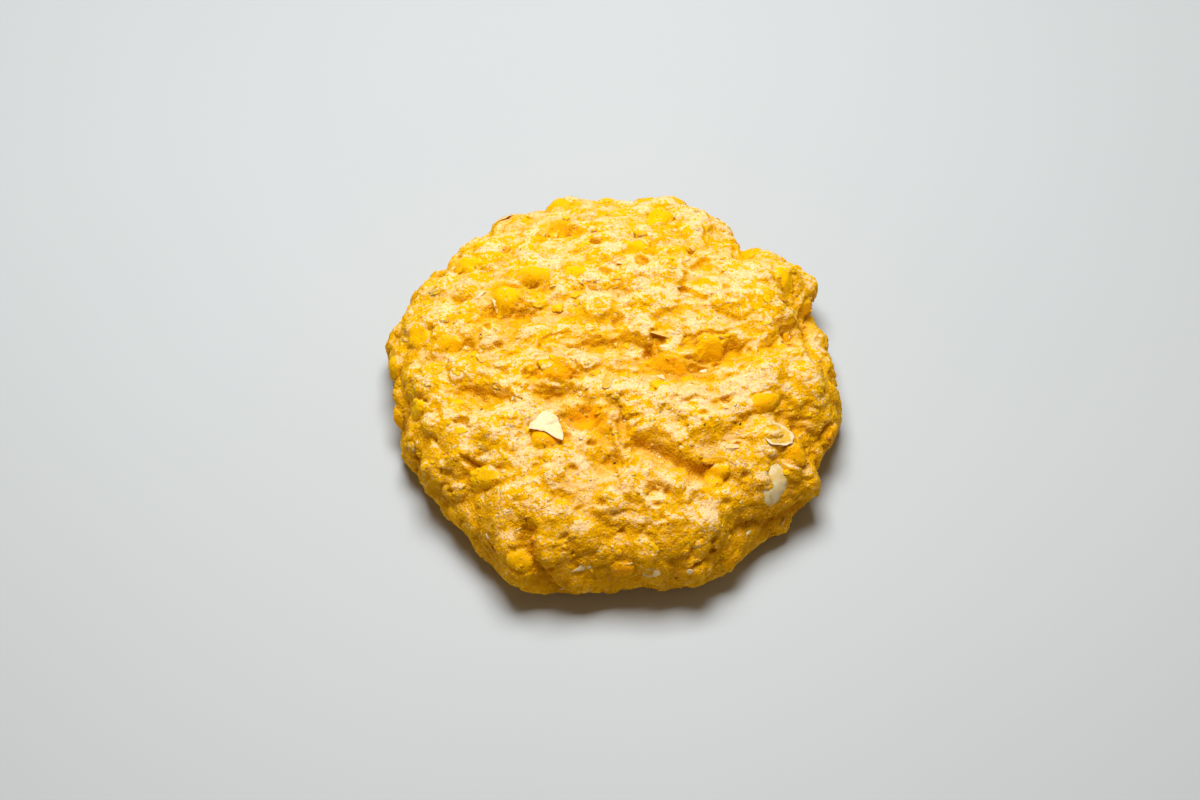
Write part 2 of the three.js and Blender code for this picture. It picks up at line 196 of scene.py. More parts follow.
# Creases: width, depth, and a path. The wall on the left of the path is the steep one.
creases = [
    (2.6, 1.6, [onTop(-31, -9.4), onTop(-26.5, -10.4), onTop(-22, -12)]),
    (2.2, 1.3, [onTop(-16.5, -6.6), onTop(-12.5, -4.8), onTop(-8, -7)]),
    (2.6, 2.4, [onTop(-17.5, -10.2), onTop(-13.5, -12), onTop(-9, -10.6)]),
    (3.6, 3.1, [onTop(-10, -17.6), onTop(-5.5, -16), onTop(-2.6, -18.5),
     onTop(-1.4, -23), onTop(-0.5, -26)]),
    (2.4, 1.7, [onTop(1.6, -17.6), onTop(1.8, -21), onTop(0, -25)]),
    (2.6, 2.8, [onTop(4.5, -23), onTop(8, -24), onTop(12, -26.6), onTop(16, -28.6), onTop(19.5, -28.8)]),
    (3, 2.2, [onTop(-6, 0.6), onTop(-1, 0.4), onTop(3, 0.6), onTop(7, -1.2)]),
    (3, 0.9, [onTop(-2.6, 5.6), onTop(0.4, 7.6)]),
    (3.4, 2.9, [onTop(7, -1.2), onTop(10, -3.2), onTop(13.5, -5.6),
     onTop(17.5, -4.4), onTop(21, -1.4), onTop(24.5, 0.6)]),
    (2.6, 1.5, [onTop(24.5, 0.6), onTop(29, 0.4), onTop(33, 2.6), onTop(37, 6.6)]),
    (4, 3.2, [onTop(37, 6.6), onTop(39.8, 10.4), onSide(21, 12.4)]),
    (4.2, 2.6, [onTop(39.8, 10.4), onTop(38.8, 14), onTop(38, 18.5)]),
    (2.6, 1.2, [onTop(27, -16.8), onTop(31, -15.4), onTop(35, -16.4), onTop(38.8, -19.4)]),
    (2.6, 2, [onTop(-25.5, 10.4), onTop(-22, 8.8), onTop(-18.6, 9.4)]),
    (2.2, 1.2, [onTop(-34, 14.4), onTop(-30, 14)]),
    (2, 0.8, [onTop(-19, 16), onTop(-15, 15.4)]),
    (2.2, 1.3, [onTop(-36, 0.6), onTop(-31, 2)]),
    (3, 1.6, [onTop(-14, 31.4), onTop(-10, 32)]),
    (1.6, 2, [onTop(-31.6, -16.2), onTop(-31, -16.6)]),
    (1.5, 1.4, [onTop(2.8, 25), onTop(3.6, 25)]),
    (1.8, 1.5, [onTop(8, -33), onTop(9, -33.2)]),
    (1.6, 1.2, [onTop(-12, -35), onTop(-11, -34.6)]),
    (3, 0.9, [onTop(-41.6, -19.6), onTop(-39.6, -23.6), onTop(-36.6, -27.4)]),
    (2.6, 0.9, [onTop(-29.5, -30.4), onTop(-25.5, -31.2), onTop(-22, -30.6)]),
    (2.4, 2.2, [onSide(247, 17.2), onSide(249, 14.6), onSide(253, 10.3), onSide(258, 4)]),
    (2.6, 2, [onSide(304, 13.3), onSide(312, 9.8), onSide(325, 6)]),
    (2.8, 2, [onSide(332, 6.5), onTop(40.8, -20.8), onTop(38, -17)]),
    (3, 2, [onSide(276, 0), onSide(277, 4)]),
    (2.6, 1.6, [onSide(186, 13.5), onSide(191, 12), onSide(196, 7.7)]),
    (3, 1.8, [onSide(46, 17.2), onSide(53, 10.2), onSide(55, 4.5)]),
    (2.8, 1.7, [onSide(92, 6.8), onSide(104, 10.8), onSide(117, 7.9)]),
    (2.6, 1.7, [onSide(136, 5.7), onSide(141, 12.4), onSide(150, 16.5)]),
]

# Folds that stand up, in the same form: the curl of a husk, and pulp in the valley
folds = [
    (1.8, 1.6, [onTop(-10.2, -18.6), onTop(-8.8, -15.6), onTop(-5.6, -14.2),
     onTop(-2.8, -15.4), onTop(-1.6, -18.8)]),
    (2.4, 1.3, [onTop(8.4, -2), onTop(12.4, -3), onTop(15.4, -5.8)]),
]

# Masses that stand higher: middle, half-length along X, half-width along Y, and rise
masses = [
    (0, -10.6, 8, 4.5, 1), (11, -14, 9, 5, 1.1), (20.5, -22, 7, 5, 0.9), (38, -4, 8, 7, 1.3),
    (27, -6, 8, 4, 0.7), (5, 19, 11, 8, 0.7), (29, 12.4, 9, 7, 0.8), (4, -36, 13, 4, 1.1),
    (15, -33, 6, 4.5, 0.7), (-27, -16, 9, 5, 0.5), (-26, -24, 8, 4.5, 0.7), (-10, -42, 7, 4, 0.8),
    (-39, -8, 5, 6, 0.8),
]


# Depth pressed in by a list of creases: a bell curve of the distance to each path's segments
def creaseDepth(point, normal, paths):
    deepest = np.zeros(len(point))
    for width, depth, path in paths:
        for start, end in zip(path[:-1], path[1:]):
            along = end - start
            t = np.clip((point - start) @ along / (along @ along), 0, 1)
            aside = point - start - t[:, None] * along
            left = np.einsum("ij,ij->i", np.cross(along, aside), normal) > 0
            spread = np.where(left, width * patty["steepShare"], width)
            pressed = depth * np.exp(-np.einsum("ij,ij->i", aside, aside) / spread ** 2)
            deepest = np.maximum(deepest, pressed)
    return deepest


# The solid's own relief: three sizes of unevenness, the masses and the folds, less the creases
def mainRelief(point, normal):
    x, y, z = point.T
    total = np.zeros(len(point))
    for kind in ("swell", "ripple"):
        size = patty[kind + "Size"]
        total += patty[kind + "Rise"] * softNoise(x / size, y / size, z / size)
    size = patty["packedSize"]
    total += patty["packedRise"] * packedLumps(x / size, y / size, z / size, patty["packedReach"])
    for *part, rise in masses:
        total += rise * bell(x, y, *part)
    return total - creaseDepth(point, normal, creases) + creaseDepth(point, normal, folds)


# Whole and crushed kernels that show: place, length, width, turn in degrees, how orange each is and
# how far it stands out, from 0 for flush to 1
kernelsShown = [
    (onTop(-12.2, -5.6), 8.2, 7, -6, 0.9, 1), (onTop(20, 1), 6.2, 5.4, -8, 0.3, 1),
    (onTop(-22.8, 13.2), 6.6, 6.8, 12, 0.05, 0.7), (onTop(-16.6, 18.6), 7.4, 4.8, -10, 0.2, 0.1),
    (onTop(5.5, 25.9), 7, 4.2, -25, 0.2, 0.4), (onTop(-6, -17.2), 6.4, 4.6, 24, 1, 0.3),
    (onTop(-26.5, -28.4), 7.4, 5, 10, 0.05, 0.1), (onTop(21.1, -28.9), 5.6, 4.4, 35, 0.3, 0.5),
    (onTop(30.9, -12.2), 7.4, 4, 25, 0.4, 0), (onTop(37.6, -22.1), 6.4, 5, -40, 0.6, 0.7),
    (onTop(-14.3, -21.6), 7.4, 4.8, -6, 0.6, 0.4), (onTop(-8.2, 19.4), 5, 4.2, 0, 0.1, 0),
    (onTop(-12, 33.9), 5.4, 4.6, 40, 0.8, 0.2), (onTop(28.8, 28.3), 6, 4, -30, 0.2, 0),
    (onTop(36.8, 21.2), 6.4, 4.4, -50, 0.1, 0.1), (onTop(-41.4, 6.9), 6, 5.4, 80, 0.2, 0),
    (onTop(-40.9, -10.2), 5.6, 4.4, 30, 0.0, 0.2), (onTop(-34.4, 3.3), 5.4, 4, 0, 0.2, 0),
    (onTop(9.9, 35.9), 6.4, 5, 15, 0.1, 0), (onTop(-30.9, 24.2), 6, 5, -35, 0.1, 0.1),
    (onSide(272, 11.4), 5.2, 4.4, 10, 0.8, 0.2), (onSide(247, 12.8), 5.4, 4.6, -15, 0.15, 0.1),
    (onSide(300, 7.8), 5.8, 4.6, 20, 0.7, 0.1), (onSide(224, 7.8), 6, 4.8, -25, 0.5, 0.1),
    (onSide(344, 9.9), 5.6, 5, 35, 0.6, 0.3),
]

# Kernels of the back and the far sides: a golden turn apart in height, as on the solid
spread = {
    "count": 16,
    "from": 5, "to": 195,           # degrees round from +X
    "low": 4.5, "high": 16.5,
    "short": 5, "long": 7.6,
    "width": 0.78,                  # as a share of the length
    "turn": 140,
    "stand": 0.3,
    "salt": 11,
}
goldenTurn = (math.sqrt(5) - 1) / 2
for i in range(spread["count"]):
    degrees = between(spread["from"], spread["to"], (i + 0.5) / spread["count"])
    height = between(spread["low"], spread["high"], i * goldenTurn % 1)
    lengthDraw, turnDraw, tone = [hashed(i, n, 0, spread["salt"]) for n in (1, 2, 3)]
    length = between(spread["short"], spread["long"], lengthDraw)
    kernelsShown.append((onSide(degrees, height), length, length * spread["width"],
                         spread["turn"] * (turnDraw - 0.5), tone, spread["stand"] * tone))

kernel = {
    "dome": 0.5,            # how high the middle of a flush one stands
    "domeMore": 0.9,        # and how much higher that of one that stands out
    "groove": 0.25,         # how deep the line round it is
    "grooveMore": 0.3,
    "grooveWidth": 0.2,
    "inner": 0.75,          # where its edge begins and ends, as shares of its half-length
    "outer": 1.05,
    "reach": 1.1,           # how far from its middle it still shapes the dough, in lengths
    "taper": 0.22,          # how much narrower the tip is than the middle
    "raggedSize": 2.3,
    "ragged": 0.32,
    "fineScale": 2.7,       # how much finer the second noise of the edge is
    "fineRagged": 0.25,
    "calm": 0.8,            # how much flatter the crumbs are on a kernel
}
layLean = (0.15, 0.6)       # from where to where pieces turn from along X to round the cake


# Share of the section and angle of a place on the smooth form
def shareOf(place):
    angle = math.atan2(place[1], place[0])
    shares = np.linspace(0, 1, patty["sectionSteps"] // 2 + 1)
    points = smoothForm(shares, np.full_like(shares, angle))[0]
    return shares[np.argmin(np.linalg.norm(points - place, axis=1))], angle


# Length, width and outward directions of pieces that lie on the cake: the length runs along X on level
# ground and round the cake on steep faces, square to the normal, and is then turned about it
def layAlong(normal, steepNormal, angle, turn):
    sideways = np.stack([-np.sin(angle), np.cos(angle), 0 * angle], 1)
    steep = smoothStep(1 - steepNormal[:, 2], *layLean)[:, None]
    across = np.array([1.0, 0, 0]) * (1 - steep) + sideways * steep
    across = unit(across - normal * np.einsum("ij,ij->i", across, normal)[:, None])
    upward = np.cross(normal, across)
    turned = across * np.cos(turn)[:, None] + upward * np.sin(turn)[:, None]
    return np.stack([turned, np.cross(normal, turned), normal], 1)


# The middle of a piece on the solid's relief, and its three directions, for a turn in degrees
def frameOn(place, degrees):
    share, angle = [np.array([part]) for part in shareOf(place)]
    point, normal = smoothForm(share, angle)
    rise = mainRelief(point, normal) * smoothStep(point[:, 2], 0, patty["footFade"])
    directions = layAlong(normal, normal, angle, np.radians([degrees]))
    return point[0] + normal[0] * rise[0], directions[0]


kernelFrames = [frameOn(place, turn) for place, length, width, turn, tone, stand in kernelsShown]
print("kernels placed:", len(kernelFrames))

# What the crumbly finish adds to the solid's relief, in millimetres
dough = {
    "gridSide": 304,        # squares along each side of the sheet
    "underRows": 4,
    "warpSize": 4.2,
    "warpReach": 1.2,
    "stretch": 1.3,         # how much longer crumbs are along X
    "crumbSize": 3.1,
    "crumbRise": 1.8,
    "lumpSize": 6.5,
    "lumpRise": 1.2,
    "billowMean": 0.2,
    "ledgeStep": 1.15,      # height of the torn layers
    "ledgeStrength": 0.6,
    "roughPart": (5, -6, 32, 20),
    "calm": 0.4,            # how much flatter the crumbs are outside the rough part
    "pressedLength": 13,    # patches that fingers have pressed
    "pressedWidth": 9,
    "pressedSpan": (-0.1, 0.3),
    "pressedCrumbs": 0.5,   # how much lower crumbs and shallower pits are in them
    "pressedPits": 0.6,
    "smallSize": 1.5,
    "smallRise": 0.75,
    "grainSize": 0.8,
    "grainRise": 0.16,
    "pitSize": 2.7,
    "pitSpan": (0.3, 0.52),
    "pitDepth": 1.2,
    "foldSpan": (0.4, 1.1),
    "foldCover": 0.6,       # how far folds look like kernels
    # how much painted shade folds get, through the domes' share
    "foldShade": 0.5,
    "footFine": 0.25,       # how much of the crumbs is left at the foot
    "footEdge": 1.5,
    "lean": 0.5,            # how far crests lean, and which way
    "leanTo": (0, -0.75, -0.65),
    "underCorn": 0.4,
    "underPaintedShade": 0.3,
}


# Where kernels lie: low domes of the sheet with ragged edges and a groove round them
def kernelRelief(point):
    rise, cover, orange = np.zeros((3, len(point)))
    x, y, z = point.T / kernel["raggedSize"]
    fine = kernel["fineScale"]
    ragged = kernel["ragged"] * softNoise(x, y + 50, z)
    ragged += kernel["fineRagged"] * softNoise(fine * x, fine * y, fine * z)
    for (middle, turned), (place, length, width, turn, tone, stand) in zip(kernelFrames, kernelsShown):
        offset = point - middle
        near = np.einsum("ij,ij->i", offset, offset) < (length * kernel["reach"]) ** 2
        offset = offset[near]
        u, v = offset @ turned[0] / (length / 2), offset @ turned[1] / (width / 2)
        edge = np.hypot(u, v * (1 + kernel["taper"] * u)) + ragged[near]
        inside = 1 - smoothStep(edge, kernel["inner"], kernel["outer"])
        cover[near] = np.maximum(cover[near], inside)
        orange[near] += tone * inside
        groove = np.exp(-(((edge - kernel["outer"]) / kernel["grooveWidth"]) ** 2))
        rise[near] += (kernel["dome"] + kernel["domeMore"] * stand) * inside * (1 - edge ** 2)
        rise[near] -= (kernel["groove"] + kernel["grooveMore"] * stand) * groove
    return rise, cover, orange


# Billows: the noise's absolute value less its mean, so rounded lumps with sharp valleys between them
def billows(x, y, z, size):
    return np.abs(softNoise(x / size / dough["stretch"], y / size, z / size)) - dough["billowMean"]


# The finished surface. Each point goes out along its normal by the solid's relief with large
# billows, torn into layers by a sine, and by small billows, grain, pits and the kernels; crests
# then lean forwards and down.
def doughSurface(share, angle):
    base, normal = smoothForm(share, angle)
    main = mainRelief(base, normal)
    x, y, z = base.T
    smoother = 1 - dough["calm"] * (1 - bell(x, y, *dough["roughPart"]))
    size = dough["warpSize"]
    shift = [softNoise(x / size + 17 * n, y / size, z / size - 9 * n) for n in (1, 2, 3)]
    x, y, z = [part + dough["warpReach"] * move for part, move in zip((x, y, z), shift)]
    length, width = dough["pressedLength"], dough["pressedWidth"]
    pressed = smoothStep(softNoise(x / length + 40, y / width, z / length), *dough["pressedSpan"])
    crumb = billows(x, y, z, dough["crumbSize"])
    lump = billows(x - 20, y, z, dough["lumpSize"])
    small = billows(x + 31, y, z, dough["smallSize"])
    size = dough["grainSize"]
    grain = softNoise(x / size, y / size, z / size)
    size = dough["pitSize"]
    pit = smoothStep(softNoise(x / size / dough["stretch"], y / size + 23, z / size), *dough["pitSpan"])
    pit *= 1 - dough["pressedPits"] * pressed
    raised = main + dough["crumbRise"] * crumb * (1 - dough["pressedCrumbs"] * pressed) * smoother
    raised += dough["lumpRise"] * lump * smoother
    step = dough["ledgeStep"]
    torn = raised - dough["ledgeStrength"] * step * np.sin(2 * np.pi * raised / step) / (2 * np.pi)
    fine = torn - main + (dough["smallRise"] * small + dough["grainRise"] * grain) * smoother
    fade = smoothStep(base[:, 2], 0, patty["footFade"])
    domes, cover, orange = kernelRelief(base + normal * (fade * main)[:, None])
    fold = smoothStep(creaseDepth(base, normal, folds), *dough["foldSpan"])
    cover, orange = np.maximum(cover, dough["foldCover"] * fold), orange + dough["foldCover"] * fold
    pit *= 1 - cover
    fine *= 1 - kernel["calm"] * cover
    rise = fade * (main + domes - dough["pitDepth"] * pit)
    rise += fine * between(dough["footFine"], 1, fade) * smoothStep(base[:, 2], 0, dough["footEdge"])
    point = base + normal * rise[:, None]
    pull = np.array(dough["leanTo"])
    pull = pull - normal * (normal @ pull)[:, None]
    point += pull * (dough["lean"] * fine * fade)[:, None]
    point[:, 2] = np.maximum(point[:, 2], 0)
    looks = {
        "base": base, "normal": normal, "main": main, "fine": fine, "pit": pit,
        "domes": domes - dough["foldShade"] * fold, "kernel": cover, "orange": orange,
    }
    return point, looks


# How much yellow corn there is against pale meal: broad parts of the cake, patches and streaks, with a
# painted highlight on crests and painted shade on faces turned from the key light and on the side
corn = {
    "base": 0.27,
    "patchSize": 7, "patchStretch": 1.4, "patch": 0.65,
    "streakSize": 2.4, "streakStretch": 1.6, "streak": 1.1,
    "pieceSize": 4.6, "pieceStretch": 1.3, "pieceReach": 0.62, "pieceSpan": (0.16, 0.34), "piece": 0.7,
    # painted highlight: crests are paler
    "paintedCrestHighlight": 0.9,           # how much paler crests are than valleys
    # painted shade: faces turned from the key light are yellower; steep below means turned from it
    "shadeSpan": (0.1, 0.45),
    "shadeMiddle": 0.3,
    "steep": 1.0,           # how much yellower steep faces are than level ones
    # painted shade: the cake's side is yellower than its top
    "sideSpan": (0.3, 0.8),
    "side": 0.55,           # and the cake's side than its top
}

# Parts that are yellower and paler: middle, half-length along X, half-width along Y, how much
yellowParts = [
    (4, 28, 30, 14, 0.08), (42, -8, 6, 14, 0.2), (-24, 26, 24, 12, 0.14), (-39.9, -1, 10, 22, 0.12),
    (32, -2, 12, 6, 0.12), (13, -40, 9, 5, 0.35), (-24, -33, 7, 5, 0.25), (-8, -13, 7, 4, 0.2),
    (0, 8, 5, 4, 0.25), (32, 16, 9, 5, 0.14), (-16, 20, 7, 4, 0.1),
]
paleParts = [
    (-2, -22, 26, 12, 0.12), (3.9, -17.7, 16, 9, 0.24), (0, -34.2, 20, 8, 0.22), (2, 12, 16, 6, 0.14),
    (-17.9, -15.6, 12, 8, 0.16), (16, 20, 8, 9, 0.3), (-6, 27, 10, 6, 0.22), (15, -20, 9, 7, 0.3),
    (24, -8, 7, 5, 0.28), (1, -8, 5, 4, 0.35), (-32, 8, 7, 5, 0.22), (-24, -24, 6, 4, 0.3),
    (-24, 25, 6, 5, 0.2), (-16, -32, 6, 4, 0.12), (38, 2, 6, 8, 0.16),
]


# The share of corn: noise in patches and streaks, crushed pieces as packed lumps, less by the height of
# crests as a painted highlight, more as painted shade where a face turns from the key light and on the
# side, and more in the yellow parts
def cornShare(looks, lean):
    x, y, z = looks["base"].T
    size = corn["patchSize"]
    patch = softNoise(x / size / corn["patchStretch"] + 60, y / size, z / size)
    size = corn["streakSize"]
    streak = softNoise(x / size / corn["streakStretch"] + 5, y / size, z / size)
    size = corn["pieceSize"]
    swayedX, swayedY = (x + 3 * streak) / size / corn["pieceStretch"], (y - 2 * streak) / size
    crushed = packedLumps(swayedX, swayedY, z / size, corn["pieceReach"])
    share = corn["base"] + corn["patch"] * patch + corn["streak"] * streak
    share += corn["piece"] * smoothStep(crushed, *corn["pieceSpan"])
    share -= corn["paintedCrestHighlight"] * looks["fine"]
    share += corn["steep"] * (smoothStep(lean, *corn["shadeSpan"]) - corn["shadeMiddle"])
    share += corn["side"] * smoothStep(1 - looks["normal"][:, 2], *corn["sideSpan"])
    for sign, parts in ((1, yellowParts), (-1, paleParts)):
        for *part, strength in parts:
            share += sign * strength * bell(x, y, *part)
    return np.clip(share, 0, 1)


# Painted shade: what darkens a place's colour as if it lay in shade, and by how much
paintedShading = {
    "base": 0.42,
    "fine": -0.7,           # for each millimetre of the crumbs' relief
    "main": -0.16,          # and of the solid's, from its middle height
    "mainMiddle": 0.6,
    "pit": 0.7,
    "domes": -0.5,
    # painted shade on faces turned from the key light
    "steep": 0.42,
    "most": 1.4,
    "crumb": 0.1,           # crumbs and grains start from this
    "crumbSteep": 0.7,
    "leanSpan": (0.14, 0.5),
}

# The key light's direction, a little behind upright; a face leans by one less its normal's part along it,
# so that faces turned from the light, towards the front, count as steeper and get more painted shade
keyLightDirection = np.array([0, 0.3, 0.95])


# How much painted shade a face gets, from 0 to 1, by how far it leans from the key light
def paintedShadeWeight(lean):
    return smoothStep(lean, *paintedShading["leanSpan"])


# How much painted shade a place gets: less on crests and domes, more in pits, in low parts and on faces
# turned from the key light
def paintedShadeShare(looks, lean):
    low = paintedShading["base"] + paintedShading["fine"] * looks["fine"]
    low += paintedShading["main"] * (looks["main"] - paintedShading["mainMiddle"])
    low += paintedShading["pit"] * looks["pit"] + paintedShading["domes"] * looks["domes"]
    return np.clip(low + paintedShading["steep"] * paintedShadeWeight(lean), 0, paintedShading["most"])


# How far each point of a square sheet leans from the key light
def keyLightLeanOf(sheet):
    alongRows, alongColumns = np.gradient(sheet, axis=(0, 1))
    normal = np.cross(alongRows, alongColumns)
    normal /= np.linalg.norm(normal, axis=-1, keepdims=True) + 1e-9
    return (1 - normal @ keyLightDirection).ravel()


# Meshes, materials and the scene

# Writes arrays into a mesh: points in millimetres, faces as rows, one value a point for each name
def buildPiece(name, points, faces, material, values):
    mesh = bpy.data.meshes.new(name)
    mesh.vertices.add(len(points))
    mesh.vertices.foreach_set("co", (points * metresPerMm).astype(np.float32).ravel())
    mesh.loops.add(faces.size)
    mesh.loops.foreach_set("vertex_index", faces.astype(np.int32).ravel())
    mesh.polygons.add(len(faces))
    mesh.polygons.foreach_set("loop_start", np.arange(0, faces.size, 3, dtype=np.int32))
    mesh.polygons.foreach_set("use_smooth", np.ones(len(faces), bool))
    mesh.update(calc_edges=True)
    for key, value in values.items():
        mesh.attributes.new(key, "FLOAT", "POINT").data.foreach_set("value", value.astype(np.float32))
    mesh.materials.append(material)
    piece = bpy.data.objects.new(name, mesh)
    bpy.context.scene.collection.objects.link(piece)
    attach(piece, "root")
    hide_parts("cake")
    print(name, "made,", len(faces), "triangles")


# A colour given as 0 to 255 in sRGB, as the linear values that shaders use
def paint(red, green, blue):
    parts = np.array([red, green, blue]) / 255
    linear = np.where(parts > 0.04045, ((parts + 0.055) / 1.055) ** 2.4, parts / 12.92)
    return (*linear.tolist(), 1.0)


# How far red, green and blue light spreads inside the dough
glowSpread = (1.0, 0.76, 0.2)


# Short ways to add nodes and link them
class NodeDesk:
    def __init__(self, name):
        self.material = bpy.data.materials.new(name)
        self.material.use_nodes = True
        self.tree = self.material.node_tree
        self.shader = self.tree.nodes["Principled BSDF"]
        self.place = self.add("ShaderNodeTexCoord").outputs["Object"]

    def add(self, kind, **settings):
        node = self.tree.nodes.new(kind)
        for key, value in settings.items():
            setattr(node, key, value)
        return node

    def feed(self, socket, value):
        if isinstance(value, bpy.types.NodeSocket):
            self.tree.links.new(value, socket)
        else:
            socket.default_value = value

    def value(self, name):
        return self.add("ShaderNodeAttribute", attribute_name=name).outputs["Fac"]

    def stretched(self, x, y, z):
        node = self.add("ShaderNodeVectorMath", operation="MULTIPLY")
        self.feed(node.inputs[0], self.place)
        node.inputs[1].default_value = (x, y, z)
        return node.outputs[0]

    def noise(self, scale, detail=2.0, roughness=0.5, place=None):
        node = self.add("ShaderNodeTexNoise")
        self.feed(node.inputs["Vector"], place or self.place)
        node.inputs["Scale"].default_value = scale
        node.inputs["Detail"].default_value = detail
        node.inputs["Roughness"].default_value = roughness
        return node.outputs["Fac"]

    def grains(self, scale):
        node = self.add("ShaderNodeTexVoronoi")
        self.feed(node.inputs["Vector"], self.place)
        node.inputs["Scale"].default_value = scale
        tone = self.add("ShaderNodeSeparateColor")
        self.feed(tone.inputs[0], node.outputs["Color"])
        return node.outputs["Distance"], tone.outputs[0]

    def math(self, operation, a, b=0.0):
        node = self.add("ShaderNodeMath", operation=operation)
        self.feed(node.inputs[0], a)
        self.feed(node.inputs[1], b)
        return node.outputs[0]

    def span(self, value, low, high, start=0.0, end=1.0):
        node = self.add("ShaderNodeMapRange", interpolation_type="SMOOTHSTEP")
        parts = {"Value": value, "From Min": low, "From Max": high, "To Min": start, "To Max": end}
        for key, part in parts.items():
            self.feed(node.inputs[key], part)
        return node.outputs["Result"]

    # A value moved up and down by a pattern, by no more than the reach
    def swayed(self, value, pattern, low, high, reach):
        return self.math("ADD", value, self.span(pattern, low, high, -reach, reach))

    def mix(self, share, a, b):
        node = self.add("ShaderNodeMix", data_type="RGBA")
        self.feed(node.inputs[0], share)
        self.feed(node.inputs[6], a)
        self.feed(node.inputs[7], b)
        return node.outputs[2]

    def bump(self, height, distance, strength=1.0, under=None):
        node = self.add("ShaderNodeBump")
        self.feed(node.inputs["Height"], height)
        node.inputs["Distance"].default_value = distance
        self.feed(node.inputs["Strength"], strength)
        if under is not None:
            self.feed(node.inputs["Normal"], under)
        return node.outputs["Normal"]

    def finish(self, colour, roughness, normal=None, glow=0.0, glowReach=0.001, gloss=0.4):
        self.feed(self.shader.inputs["Base Color"], colour)
        self.feed(self.shader.inputs["Roughness"], roughness)
        self.shader.inputs["Specular IOR Level"].default_value = gloss
        self.shader.inputs["Subsurface Weight"].default_value = glow
        self.shader.inputs["Subsurface Radius"].default_value = glowSpread
        self.shader.inputs["Subsurface Scale"].default_value = glowReach
        if normal is not None:
            self.feed(self.shader.inputs["Normal"], normal)
        return self.material


colours = {
    "meal": paint(240, 206, 153),
    "corn": paint(238, 186, 0),
    "deepCorn": paint(234, 173, 0),
    # Painted shade: hollows, crevices, cracks and gaps between grains are darkened to these two colours
    "paintedShade": paint(226, 162, 4),
    "deepPaintedShade": paint(198, 128, 6),
    "kernel": paint(240, 182, 4),
    "orangeKernel": paint(236, 156, 6),
    "skin": paint(236, 211, 164),
    "yellowSkin": paint(222, 168, 50),
    "speck": paint(100, 60, 16),
}


# Patterns of the meal: scales of noise, how far each moves the share of corn, how much painted shade the
# cracks get, bump heights in metres
mealFinish = {
    "streakScale": 620, "streakStretch": (0.55, 1.0, 1.0), "streak": 0.42,
    "gritScale": 2600, "grit": 0.36, "gritBump": 0.0003,
    "grainScale": 1700, "grain": 0.5, "grainBump": 0.0003,
    "crumbScale": 360, "crumbStretch": (0.6, 1.0, 1.0),
    "crackScale": 150, "crackWidth": 0.028, "crackWithPaintedShade": 0.3, "crackBump": 0.0005,
    "cornRough": 0.7, "mealRough": 0.38, "glowReach": 0.001,
}


# Moist meal: streaks of yellow corn through pale meal, grain by grain, with painted shade in the hollows,
# in crevices, in cracks and between grains, and smoother and plainer on kernels
def doughMaterial(name, gloss, glow):
    look = mealFinish
    desk = NodeDesk(name)
    share, paintedShade = desk.value("corn"), desk.value("paintedShade")
    streaks = desk.noise(look["streakScale"], 3.0, 0.7, desk.stretched(*look["streakStretch"]))
    grit = desk.noise(look["gritScale"], 2.0, 0.6)
    away, tone = desk.grains(look["grainScale"])
    share = desk.swayed(share, streaks, 0.32, 0.68, look["streak"])
    share = desk.swayed(share, tone, 0.0, 1.0, look["grain"])
    share = desk.swayed(share, grit, 0.35, 0.65, look["grit"])
    # Colours laid over the meal: by what, from where, to where, how much at most; the last three are
    # painted shade in hollows, in crevices and between grains
    layers = [
        (share, 0.41, 0.59, 1.0, "corn"),
        (share, 0.6, 1.0, 1.0, "deepCorn"),
        (paintedShade, 0.35, 0.9, 0.85, "paintedShade"),
        (paintedShade, 0.8, 1.3, 0.8, "deepPaintedShade"),
        (away, 0.3, 0.75, 0.3, "paintedShade"),
    ]
    colour = colours["meal"]
    for value, low, high, most, tint in layers:
        colour = desk.mix(desk.span(value, low, high, 0.0, most), colour, colours[tint])
    # Cracks between crumbs: darkened by painted shade, and pressed in by the bump
    crumbNoise = desk.noise(look["crumbScale"], 3.0, 0.6, desk.stretched(*look["crumbStretch"]))
    fromMiddle = desk.math("ABSOLUTE", desk.math("SUBTRACT", crumbNoise, 0.5))
    crackWithPaintedShade = desk.span(fromMiddle, 0.0, look["crackWidth"], 1.0, 0.0)
    crackWithPaintedShade = desk.math("MULTIPLY", crackWithPaintedShade, desk.span(desk.noise(look["crackScale"], 2.0), 0.42, 0.58))
    colour = desk.mix(desk.math("MULTIPLY", crackWithPaintedShade, look["crackWithPaintedShade"]), colour, colours["deepPaintedShade"])
    kernels = desk.value("kernel")
    kernelColour = desk.mix(desk.value("orange"), colours["kernel"], colours["orangeKernel"])
    shown = desk.math("ADD", kernels, desk.span(share, 0.1, 0.6, -0.4, 0.1))
    colour = desk.mix(desk.span(shown, 0.3, 0.6), colour, kernelColour)
    rough = desk.span(share, 0.4, 0.6, look["mealRough"], look["cornRough"])
    strength = desk.span(kernels, 0.3, 0.9, 0.7, 0.1)
    normal = desk.bump(desk.math("SUBTRACT", 1.0, away), look["grainBump"], strength)
    normal = desk.bump(grit, look["gritBump"], desk.span(kernels, 0.3, 0.9, 0.2, 0.1), normal)
    normal = desk.bump(desk.math("SUBTRACT", 1.0, crackWithPaintedShade), look["crackBump"], 0.45, normal)
    return desk.finish(colour, rough, normal, glow, look["glowReach"], gloss)


# Patterns and finish of crushed corn
cornFinish = {
    "toneScale": 420, "tone": 0.2,
    "dust": 0.7, "grainScale": 1900, "dustBump": 0.0003,
    "bumpScale": 900, "bump": 0.0004,
    "glow": 0.2, "glowReach": 0.001, "gloss": 0.08,
}


